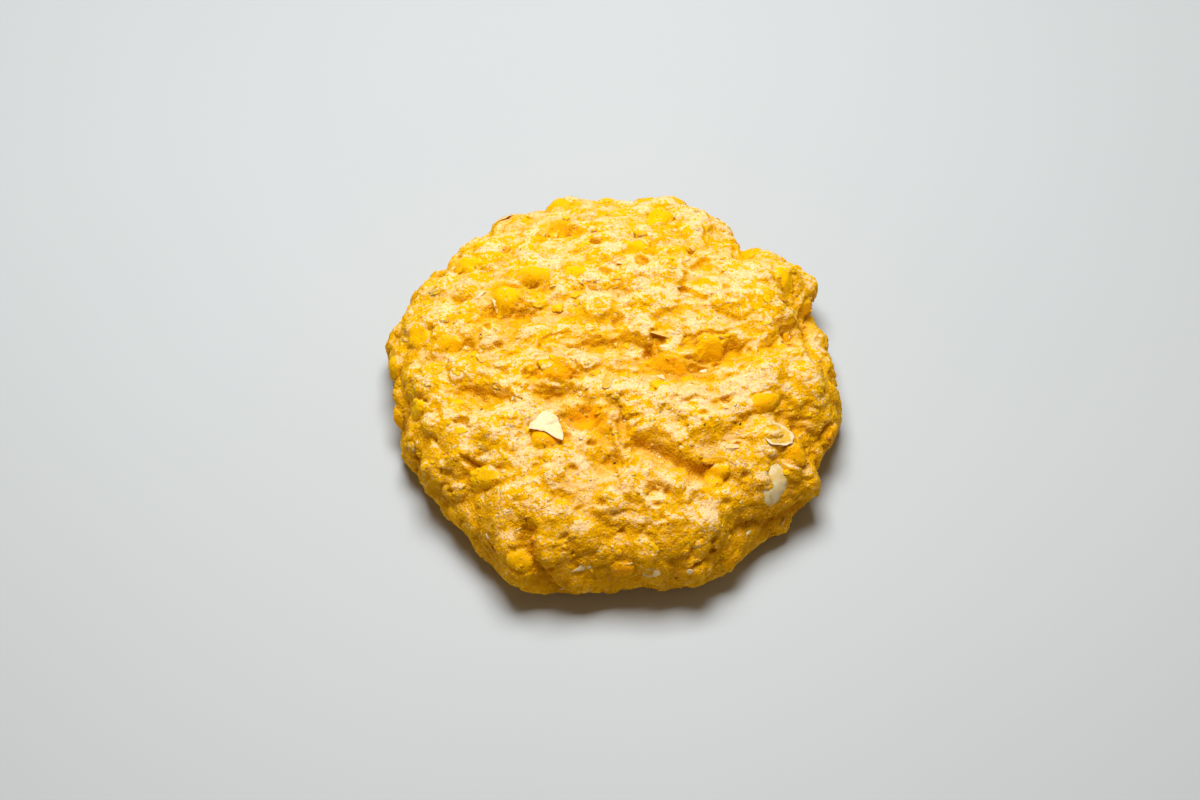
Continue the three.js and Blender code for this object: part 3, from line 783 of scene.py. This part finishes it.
# Crushed corn: smooth and a little translucent, yellow to orange by the piece's tone, with meal
# stuck on where it is dusted
def cornMaterial():
    look = cornFinish
    desk = NodeDesk("sweetcorn")
    tone = desk.swayed(desk.value("tone"), desk.noise(look["toneScale"], 2.0), 0.3, 0.7, look["tone"])
    patches = desk.noise(look["toneScale"], 4.0, 0.65)
    dust = desk.span(desk.swayed(desk.value("dust"), patches, 0.3, 0.7, look["dust"]), 0.45, 0.6)
    away, grainTone = desk.grains(look["grainScale"])
    colour = desk.mix(desk.span(tone, 0.0, 1.0), colours["kernel"], colours["orangeKernel"])
    colour = desk.mix(dust, colour, desk.mix(grainTone, colours["meal"], colours["corn"]))
    rough = desk.span(dust, 0.0, 1.0, 0.5, 0.7)
    height = desk.math("MULTIPLY", desk.math("SUBTRACT", 1.4, away), dust)
    normal = desk.bump(desk.noise(look["bumpScale"], 3.0), look["bump"], 0.4)
    normal = desk.bump(height, look["dustBump"], 0.8, normal)
    return desk.finish(colour, rough, normal, look["glow"], look["glowReach"], look["gloss"])


# Patterns and finish of skins and shreds
skinFinish = {
    "toneScale": 600, "tone": 0.25,
    "mealScale": 700, "meal": 0.6, "grainScale": 1500,
    "bumpScale": 700, "bumpStretch": (0.4, 1.0, 1.0), "bump": 0.0003,
    "roughness": 0.45, "glow": 0.3, "glowReach": 0.0008, "gloss": 0.15,
}


# Skins and shreds: pale to yellow by the piece's tone, with meal stuck on in patches
def skinMaterial():
    look = skinFinish
    desk = NodeDesk("corn skin")
    tone = desk.swayed(desk.value("tone"), desk.noise(look["toneScale"], 2.0), 0.3, 0.7, look["tone"])
    colour = desk.mix(desk.span(tone, 0.2, 0.9), colours["skin"], colours["yellowSkin"])
    stuck = desk.span(desk.noise(look["mealScale"], 3.0, 0.7), 0.52, 0.62, 0.0, look["meal"])
    grainTint = desk.mix(desk.noise(look["grainScale"]), colours["meal"], colours["corn"])
    colour = desk.mix(stuck, colour, grainTint)
    fibres = desk.noise(look["bumpScale"], 3.0, 0.5, desk.stretched(*look["bumpStretch"]))
    normal = desk.bump(fibres, look["bump"], 0.4)
    return desk.finish(colour, look["roughness"], normal, look["glow"], look["glowReach"], look["gloss"])


# Specks: one plain dark colour
def speckMaterial():
    desk = NodeDesk("dark speck")
    return desk.finish(colours["speck"], 0.7, gloss=0.2)


# Four-sided faces, given as the four corners' indices, each split into two triangles
def halved(corners):
    p, q, r, s = [corner.ravel() for corner in corners]
    return [np.stack([p, q, r], 1), np.stack([p, r, s], 1)]


# The sheet: a square grid laid over the disc ring by ring, closed below by rings to a middle point
def makeDough(material):
    side = dough["gridSide"]
    step = np.linspace(-1, 1, side + 1)
    a, b = [part.ravel() for part in np.meshgrid(step, step, indexing="ij")]
    share = np.maximum(np.abs(a), np.abs(b))
    wide = np.abs(a) >= np.abs(b)
    safeA, safeB = np.where(a == 0, 1, a), np.where(b == 0, 1, b)
    angle = np.where(wide, np.pi / 4 * b / safeA + np.pi * (a < 0),
                     np.pi / 2 - np.pi / 4 * a / safeB + np.pi * (b < 0))
    points, looks = doughSurface(share, angle)
    lean = keyLightLeanOf(points.reshape(side + 1, side + 1, 3))
    index = np.arange((side + 1) ** 2).reshape(side + 1, side + 1)
    corners = [index[:-1, :-1], index[1:, :-1], index[1:, 1:], index[:-1, 1:]]
    faces = halved(corners)
    border = np.concatenate([index[:-1, 0], index[-1, :-1], index[:0:-1, -1], index[0, :0:-1]])
    rows = dough["underRows"]
    shrink = 1 - np.arange(1, rows) / rows
    inner = points[border][None] * np.array([1, 1, 0]) * shrink[:, None, None]
    count = len(border)
    start = len(points) + np.arange(rows - 1)[:, None] * count
    rings = np.concatenate([border[None], start + np.arange(count)])
    outer, within = rings[:-1], rings[1:]
    faces += halved([outer, within, np.roll(within, -1, 1), np.roll(outer, -1, 1)])
    middle = len(points) + (rows - 1) * count
    last = rings[-1]
    faces.append(np.stack([last, np.full(count, middle), np.roll(last, -1)], 1))
    allPoints = np.concatenate([points, inner.reshape(-1, 3), np.zeros((1, 3))])
    below = len(allPoints) - len(points)
    kinds = {
        "corn": (cornShare(looks, lean), dough["underCorn"]),
        "paintedShade": (paintedShadeShare(looks, lean), dough["underPaintedShade"]),
        "kernel": (looks["kernel"], 0),
        "orange": (np.minimum(looks["orange"], 1), 0),
    }
    values = {key: np.concatenate([above, np.full(below, under)]) for key, (above, under) in kinds.items()}
    buildPiece("dough", allPoints, np.concatenate(faces), material, values)


# A ball as rings of points between two poles, with its triangles facing out
def ballGrid(around, rings):
    polar = np.linspace(0, np.pi, rings + 1)[1:-1, None]
    turn = 2 * np.pi * np.arange(around)[None] / around
    across, upward = np.sin(polar), np.cos(polar) + 0 * turn
    ring = np.stack([across * np.cos(turn), across * np.sin(turn), upward], -1)
    points = np.concatenate([ring.reshape(-1, 3), [[0, 0, 1], [0, 0, -1]]])
    index = np.arange((rings - 1) * around).reshape(rings - 1, around)
    beside = np.roll(index, -1, 1)
    top, bottom = len(points) - 2, len(points) - 1
    caps = [np.stack([np.full(around, top), index[0], beside[0]], 1),
            np.stack([np.full(around, bottom), beside[-1], index[-1]], 1)]
    return points, np.concatenate(halved([index[:-1], index[1:], beside[1:], beside[:-1]]) + caps)


# Sets one grid's points down many times: local points times each piece's directions, plus its
# middle; tones has one number a piece, values one a point
def setDown(name, local, faces, middles, directions, material, tones, values=None):
    points = middles[:, None] + np.einsum("nvk,nkd->nvd", local, directions)
    count, corners = local.shape[:2]
    allFaces = (faces[None] + corners * np.arange(count)[:, None, None]).reshape(-1, 3)
    everyTone = {key: np.repeat(tone, corners) for key, tone in tones.items()}
    buildPiece(name, points.reshape(-1, 3), allFaces, material, everyTone | (values or {}))


# Noise at each piece's points, from a part of the noise of its own
def unevenness(local, size, seed):
    offset = np.arange(len(local))[:, None] * 11.3 + seed
    x, y, z = local[..., 0] / size + offset, local[..., 1] / size, local[..., 2] / size
    return softNoise(x.ravel(), y.ravel(), z.ravel()).reshape(local.shape[:2])


# Balls stretched to the sizes given, each point moved in or out by the noise
def unevenBalls(kind, sizes):
    ball, faces = ballGrid(kind["around"], kind["rings"])
    local = ball[None] * sizes[:, None] / 2
    bumps = unevenness(np.broadcast_to(ball, local.shape), kind["bumpSize"], kind["bumpSeed"])
    return local * (1 + kind["uneven"] * bumps[..., None]), faces


# Uneven balls set down, sunk into the dough by a share of their thickness
def layBalls(name, kind, sizes, middle, directions, material, tones):
    local, faces = unevenBalls(kind, sizes)
    middle = middle - directions[:, 2] * (sizes[:, 2] * kind["sunk"])[:, None]
    setDown(name, local, faces, middle, directions, material, tones)


# What all strewn pieces share
strewing = {
    "tries": 4,             # places drawn for each piece
    "lowest": 1.2,          # height of the lowest
    "outermost": 0.985,     # as a share of the section
    "stepAlong": 0.004,     # small steps that find the slope
    "stepRound": 0.006,
    "follow": 0.5,          # how far pieces follow that slope
}


# Places strewn over the dough: the share drawn by the ring's length and the angle freely, kept by
# a liking of the place from 0 to 1; the directions come from the slope of the finished surface
def strewn(kind, liking):
    random = np.random.default_rng(kind["seed"])
    tries = kind["count"] * strewing["tries"]
    ringLength = np.cumsum(sectionAcross[1:] * np.diff(sectionShare))
    share = np.interp(random.random(tries), ringLength / ringLength[-1], sectionShare[1:])
    angle = random.uniform(-np.pi, np.pi, tries)
    base = smoothForm(share, angle)[0]
    keep = (random.random(tries) < liking(base)) & (base[:, 2] > strewing["lowest"])
    share, angle = share[keep][:kind["count"]], angle[keep][:kind["count"]]
    share = np.minimum(share, strewing["outermost"])
    middle, looks = doughSurface(share, angle)
    along = doughSurface(share + strewing["stepAlong"], angle)[0] - middle
    beside = doughSurface(share, angle + strewing["stepRound"])[0] - middle
    slope = unit(np.cross(along, beside))
    looks["lean"] = 1 - slope @ keyLightDirection
    normal = unit(between(looks["normal"], slope, strewing["follow"]))
    turn = random.normal(0, kind["sway"], len(share))
    return middle, layAlong(normal, looks["normal"], angle, turn), looks, random


# Lengths from the kind's shortest to its longest: a draw to the power of its bias, so that short
# ones prevail
def drawLengths(kind, random, count):
    return between(kind["short"], kind["long"], random.random(count) ** kind["bias"])


# Lengths, and widths and thicknesses drawn as shares of them
def drawSizes(kind, random, count):
    length = drawLengths(kind, random, count)
    width, thick = random.uniform(*kind["width"], count), random.uniform(*kind["thick"], count)
    return length[:, None] * np.stack([np.ones(count), width, thick], 1)


# Crushed corn: sizes in millimetres, unevenness as a share, how far it is sunk and how freely it turns
bits = {
    "count": 150, "seed": 5,
    "short": 1.4, "long": 4.4, "bias": 2.2, "width": (0.42, 0.78), "thick": (0.252, 0.432),
    "around": 14, "rings": 9, "uneven": 1.0, "bumpSize": 0.7, "bumpSeed": 20,
    "sunk": 0.32, "sway": 0.5, "toneBias": 1.5, "dust": (-0.2, 0.5),
}


# Crushed corn lies more thickly at the back and on the left
def bitLiking(place):
    return 0.3 + 0.5 * smoothStep(place[:, 1], -15, 25) + 0.2 * smoothStep(-place[:, 0], 0, 35)


# Uneven balls of corn, more orange as painted shade on faces turned from the key light
def makeBits(material):
    middle, directions, looks, random = strewn(bits, bitLiking)
    count = len(middle)
    sizes = drawSizes(bits, random, count)
    tone = 0.5 * random.random(count) ** bits["toneBias"] + 0.5 * paintedShadeWeight(looks["lean"])
    tones = {"tone": tone, "dust": random.uniform(*bits["dust"], count)}
    layBalls("corn_bits", bits, sizes, middle, directions, material, tones)


# Crumbs of the dough itself, standing half out of it
crumbs = {
    "count": 700, "seed": 7,
    "short": 0.6, "long": 2.0, "bias": 2.4, "width": (0.5, 0.9), "thick": (0.4, 0.7),
    "around": 8, "rings": 5, "uneven": 1.1, "bumpSize": 0.7, "bumpSeed": 40,
    "sunk": 0.25, "sway": 0.9, "corn": 0.03, "cornSpread": 0.2,
}
fineCrumbs = crumbs | {"count": 2600, "seed": 9, "short": 0.4, "long": 0.95, "around": 7, "rings": 4}


# Crumbs lie in patches, by the noise
def crumbLiking(place):
    return 0.35 + 0.5 * np.clip(0.5 + 2.5 * softNoise(*(place / 9).T), 0, 1)


# Fine crumbs and grains lie more thickly at the front and down the side
def grainLiking(place):
    return 0.35 + 0.35 * smoothStep(-place[:, 1], 5, 35) + 0.3 * smoothStep(15 - place[:, 2], 0, 8)


# What crumbs and grains carry: their share of corn, and painted shade, more on faces turned from the key
# light
def crumbTones(share, looks):
    none = np.zeros(len(share))
    paintedShade = paintedShading["crumb"] + paintedShading["crumbSteep"] * paintedShadeWeight(looks["lean"])
    return {"corn": np.clip(share, 0, 1), "paintedShade": paintedShade, "kernel": none, "orange": none}


# Uneven balls with the dough's own share of corn, drawn a little to either side
def makeCrumbs(name, kind, liking, material):
    middle, directions, looks, random = strewn(kind, liking)
    count = len(middle)
    sizes = drawSizes(kind, random, count)
    share = cornShare(looks, looks["lean"]) + random.normal(kind["corn"], kind["cornSpread"], count)
    layBalls(name, kind, sizes, middle, directions, material, crumbTones(share, looks))


# Single grains of meal
grains = {
    "count": 9000, "seed": 8,
    "short": 0.22, "long": 0.55, "bias": 1.6, "shares": (0.65, 1.0),
    "around": 5, "rings": 3, "uneven": 0, "bumpSize": 0.7, "bumpSeed": 0,
    "sunk": 0.1, "sway": 3.0, "corn": 0.9, "cornSpread": 0.2,
}


# Small plain balls, a little paler than the dough under them
def makeGrains(material):
    middle, directions, looks, random = strewn(grains, grainLiking)
    count = len(middle)
    length = drawLengths(grains, random, count)
    sizes = length[:, None] * random.uniform(*grains["shares"], (count, 3))
    share = grains["corn"] * cornShare(looks, looks["lean"]) + random.normal(0, grains["cornSpread"], count)
    layBalls("grains", grains, sizes, middle, directions, material, crumbTones(share, looks))


# Thin shreds of skin and pulp
shreds = {
    "count": 45, "seed": 6,
    "short": 1.2, "long": 3.0, "bias": 2, "width": (0.156, 0.364), "thickness": 0.2,
    "around": 12, "rings": 8, "uneven": 0.7, "bumpSize": 0.8, "bumpSeed": 61,
    "sway": 0.45, "bow": (-0.05, 0.16), "tilt": (-0.2, 0.5), "lift": 0.03,
    "wave": 0.4, "waveSize": 1.1, "waveSeed": 60, "tone": (0.35, 1),
}


# Shreds lie more thickly at the back
def shredLiking(place):
    return 0.6 + 0.4 * smoothStep(place[:, 1], -20, 20)


# Flat ball grids bent like a bow by the square of the place along them, tilted and made wavy
def makeShreds(material):
    middle, directions, looks, random = strewn(shreds, shredLiking)
    count = len(middle)
    length = drawLengths(shreds, random, count)
    width = length * random.uniform(*shreds["width"], count)
    bow = random.uniform(*shreds["bow"], count)[:, None]
    tilt = random.uniform(*shreds["tilt"], count)[:, None]
    local, faces = unevenBalls(shreds, np.stack([length, width, np.full(count, shreds["thickness"])], 1))
    length = length[:, None]
    local[..., 2] += length * (shreds["lift"] - bow * 4 * (local[..., 0] / length) ** 2)
    wave = unevenness(local, shreds["waveSize"], shreds["waveSeed"])
    local[..., 2] += shreds["wave"] * wave - tilt * local[..., 1]
    tones = {"tone": random.uniform(*shreds["tone"], count)}
    setDown("shreds", local, faces, middle, directions, material, tones)


# Outlines of torn skins: corners as degrees round and reach; None is an oval
bent = [(96, 0.9), (188, 0.96), (268, 0.34), (312, 1.42), (362, 0.86), (408, 0.86)]
shard = [(80, 1), (200, 1.1), (325, 1.2)]

# Pale skins: place, length, width, turn in degrees, near edge's lift, outline, bowl, how far it is
# buried and how yellow
skinsShown = [
    (onTop(-14.2, -19.3), 8, 8, 0, 0.5, bent, 0, -0.9, 0.1),
    (onTop(33, -19), 7.8, 5.4, 5, 0.8, None, 0.5, 0.65, 0.1),
    (onTop(32.5, -28.9), 10.2, 6.2, 41, 0, None, -0.8, -0.35, 0.35),
    (onTop(9.6, 3.6), 4.8, 2, -12, 0.1, shard, 0, 0.1, 0.9),
    (onTop(-24.9, 12.2), 4, 2.2, -70, 0.2, shard, -0.2, 0, 0.5),
    (onTop(-1.4, -8.6), 4.8, 2.2, 80, 0.2, None, 0.5, 0.1, 0.5),
    (onTop(9.7, -6), 2.4, 1.5, -20, 0.2, shard, 0.1, 0, 0.1),
    (onTop(18.9, -3.6), 2, 0.9, 10, 0.1, None, 0, 0, 0.2),
    (onTop(-20.9, -11.8), 1.2, 0.7, 60, 0.2, None, 0.1, 0, 0),
    (onTop(-28.3, 14.8), 3, 0.8, 40, 0.1, None, 0, 0, 0.4),
    (onTop(23.8, -23), 3, 1, 10, 0.2, None, 0.1, 0, 0.4),
    (onTop(-28, -1.7), 2.6, 1, -60, 0.2, None, 0.1, 0, 0.6),
    (onSide(262, 12.8), 5, 2.2, 12, 0.2, shard, 0, 0, 0.3),
    (onSide(258, 5.4), 4, 1, 85, 0.1, None, 0, 0, 0.4),
    (onSide(279, 11), 3.6, 1.4, 15, 0.2, None, 0.1, 0, 0.3),
    (onSide(288, 11.4), 1.4, 1.1, 0, 0.1, None, 0, 0, 0.2),
    (onSide(120, 13.6), 5, 2.4, 20, 0.3, shard, 0.2, 0, 0.3),
    (onSide(60, 12.4), 4.4, 2, -30, 0.3, shard, 0.2, 0, 0.4),
    (onSide(174, 9.5), 4.6, 2.2, 50, 0.3, None, 0.2, 0, 0.3),
]
skin = {
    "thickness": 0.2,
    "around": 48,
    "rings": 14,
    "edge": 0.22,           # how ragged the outline is
    "edgeScale": 2.4,
    "wave": 0.3,
    "waveSize": 3,
    "liftPower": 1.5,       # how sharply the near edge turns up
    "follow": 0.4,          # how far a skin follows the unevenness under it
    "topShare": 0.6,        # where the top ends, as a share of the section
    "topAbove": 4,          # and how far it stays above the widest line
    "rim": (0.76, 0.94),    # where a bowl's pale rim begins, as shares of its reach
    "bowlTone": 1.4,
}


# Points of the main surface near a place, with u along the piece's length and v along its width;
# the unevenness under it is only partly followed
def besidePlace(place, degrees, u, v):
    share, angle = shareOf(place)
    turn = math.radians(degrees)
    right, up = u * math.cos(turn) - v * math.sin(turn), u * math.sin(turn) + v * math.cos(turn)
    if share < skin["topShare"]:
        x, y = place[0] + right, place[1] + up
        angles = np.arctan2(y, x)
        top = sectionHeight > widestHeight + skin["topAbove"]
        across = np.hypot(x, y) * patty["radius"] / rimRadius(angles)
        shares = np.interp(across, sectionAcross[top], sectionShare[top])
    else:
        angles = angle + right / np.hypot(place[0], place[1])
        shares = np.clip(share - up / sectionLength, 0, 1)
    base, normal = smoothForm(shares, angles)
    rise = mainRelief(base, normal) * smoothStep(base[:, 2], 0, patty["footFade"])
    return base + normal * between(rise.mean(), rise, skin["follow"])[:, None], normal


# A torn outline: the straight line between each two corners, in polar form
def tornOutline(turn, corners):
    outline = np.ones_like(turn)
    for (first, near), (second, far) in zip(corners, corners[1:] + corners[:1]):
        apart = math.radians((second - first) % 360)
        past = (turn - math.radians(first)) % (2 * np.pi)
        within = past < apart
        line = near * np.sin(past[within]) + far * np.sin(apart - past[within])
        outline[within] = near * far * math.sin(apart) / line
    return outline


# A skin: a flat ball grid with a torn or oval outline, laid on the dough, bowed like a shell, with
# its near edge lifted; a bowl is yellower within than at its rim
def makeSkins(material):
    ball, faces = ballGrid(skin["around"], skin["rings"])
    x, y, z = ball.T
    turn = np.arctan2(y, x)
    pieces, tones = [], []
    for place, length, width, degrees, lift, corners, bowl, buried, tone in skinsShown:
        outline = tornOutline(turn, corners) if corners else np.ones_like(turn)
        scale = skin["edgeScale"]
        ragged = softNoise(np.cos(turn) * scale + length * 3, np.sin(turn) * scale, 0 * turn)
        outline *= 1 + skin["edge"] * ragged
        u, v = x * outline, y * outline
        points, normal = besidePlace(place, degrees, u * length / 2, v * width / 2)
        rise = lift * np.maximum(0.5 * (1 - v), 0) ** skin["liftPower"] + bowl * (u ** 2 + v ** 2) - buried
        size = skin["waveSize"]
        rise += skin["wave"] * softNoise(u * length / size + length * 5, v * width / size, 0 * u)
        rise += z * skin["thickness"] / 2
        pieces.append(points + normal * rise[:, None])
        inner = (1 - smoothStep(np.hypot(x, y), *skin["rim"])) * (z > -0.5)
        tones.append(tone + skin["bowlTone"] * max(bowl, 0) * inner)
    nowhere = np.zeros((len(pieces), 3))
    unturned = np.tile(np.eye(3), (len(pieces), 1, 1))
    setDown("skins", np.array(pieces), faces, nowhere, unturned, material, {},
            {"tone": np.concatenate(tones)})


# Dark specks of the corn's tips: place and length
specksShown = [
    (onTop(15, -19.5), 0.675), (onTop(18.2, -19.6), 0.525), (onTop(25.8, -17.7), 0.675),
    (onTop(-27.6, -13.5), 0.6), (onTop(-35, -24.5), 0.675), (onTop(0, -26.3), 0.675),
    (onTop(4.5, -16.3), 0.45), (onTop(-27.8, 3.7), 0.525), (onTop(32.8, -29.6), 0.825),
    (onSide(285, 8.6), 0.6), (onSide(262, 5.9), 0.45), (onTop(21.8, 8.2), 0.375),
    (onSide(150, 10.2), 0.6), (onSide(75, 13.6), 0.525),
]
speck = {
    "width": 0.6, "thick": 0.5, "turn": 30,
    "sunk": -0.2,           # below 0, so it stands out by that share of its thickness
    "around": 8, "rings": 6, "uneven": 0.8, "bumpSize": 0.6, "bumpSeed": 80,
}


# Uneven balls on the finished surface at the places listed, each turned by its size
def makeSpecks(material):
    middles, directions = [], []
    for place, size in specksShown:
        share, angle = shareOf(place)
        middles.append(doughSurface(np.array([share]), np.array([angle]))[0][0])
        directions.append(frameOn(place, speck["turn"] * size)[1])
    lengths = np.array([size for place, size in specksShown])
    sizes = lengths[:, None] * np.array([1, speck["width"], speck["thick"]])
    layBalls("specks", speck, sizes, np.array(middles), np.array(directions), material, {})


meal = doughMaterial("moist meal", gloss=0.03, glow=0.65)
dryMeal = doughMaterial("dry meal", gloss=0.05, glow=0.08)
sweetcorn = cornMaterial()
cornSkin = skinMaterial()
makeDough(meal)
makeBits(sweetcorn)
makeCrumbs("dough_crumbs", crumbs, crumbLiking, dryMeal)
makeCrumbs("fine_crumbs", fineCrumbs, grainLiking, dryMeal)
makeGrains(dryMeal)
makeShreds(cornSkin)
makeSkins(cornSkin)
makeSpecks(speckMaterial())


# Studio: floor, lights and camera, in metres, watts and degrees
studio = {
    "floorSize": 4.0,
    "floorDrop": 0.00005,
    "floorTones": (paint(180, 183, 182), paint(186, 189, 188)),
    "world": 0.11,
    "worldColour": (1.0, 0.79, 0.52, 1.0),
    "target": (-0.003, -0.0036, 0.009),
    "elevation": 57,
    "distance": 0.6,
    "lens": 85,
}

# Name, place, power, size and tint
lights = [
    ("key", (-0.02, 0.137, 0.48), 3.7, 0.24, (0.97, 1.0, 1.04)),
    ("fill", (0.7, 0.1, 0.9), 0.3, 0.8, (1.0, 0.86, 0.6)),
    ("front left", (-0.7, -0.5, 0.1), 1.04, 0.4, (1.0, 0.81, 0.56)),
    ("front right", (0.7, -0.5, 0.1), 0.8, 0.4, (1.0, 0.81, 0.56)),
]


# The floor, a little under the cake's foot, and the soft light of the world
def makeStudio():
    mesh = bpy.data.meshes.new("floor")
    half = studio["floorSize"] / 2
    corners = [(-half, -half, 0), (half, -half, 0), (half, half, 0), (-half, half, 0)]
    mesh.from_pydata(corners, [], [(0, 1, 2, 3)])
    floor = bpy.data.objects.new("floor", mesh)
    floor.location.z = -studio["floorDrop"]
    bpy.context.scene.collection.objects.link(floor)
    desk = NodeDesk("pale floor")
    tint = desk.mix(desk.noise(6, 2.0), *studio["floorTones"])
    floor.data.materials.append(desk.finish(tint, 0.6, gloss=0.2))
    world = bpy.data.worlds.new("soft studio")
    world.use_nodes = True
    background = world.node_tree.nodes["Background"]
    background.inputs["Color"].default_value = studio["worldColour"]
    background.inputs["Strength"].default_value = studio["world"]
    bpy.context.scene.world = world
    bpy.context.scene.view_settings.view_transform = "Standard"


# A square area light that faces the middle of the cake's foot
def addLight(name, place, power, size, tint):
    lamp = bpy.data.lights.new(name, "AREA")
    lamp.energy = power
    lamp.color = tint
    lamp.size = size
    light = bpy.data.objects.new(name, lamp)
    light.location = place
    aim = -light.location
    light.rotation_euler = aim.to_track_quat("-Z", "Y").to_euler()
    bpy.context.scene.collection.objects.link(light)


# The camera looks down at the front of the cake, at the photo's angle above the floor
def addCamera():
    elevation = math.radians(studio["elevation"])
    away = np.array([0, -math.cos(elevation), math.sin(elevation)]) * studio["distance"]
    lens = bpy.data.cameras.new("camera")
    lens.lens = studio["lens"]
    lens.sensor_width = 36
    lens.clip_start = 0.01
    camera = bpy.data.objects.new("camera", lens)
    camera.location = np.array(studio["target"]) + away
    camera.rotation_euler = (math.pi / 2 - elevation, 0, 0)
    bpy.context.scene.collection.objects.link(camera)
    bpy.context.scene.camera = camera


makeStudio()
for light in lights:
    addLight(*light)
addCamera()
print("studio ready")
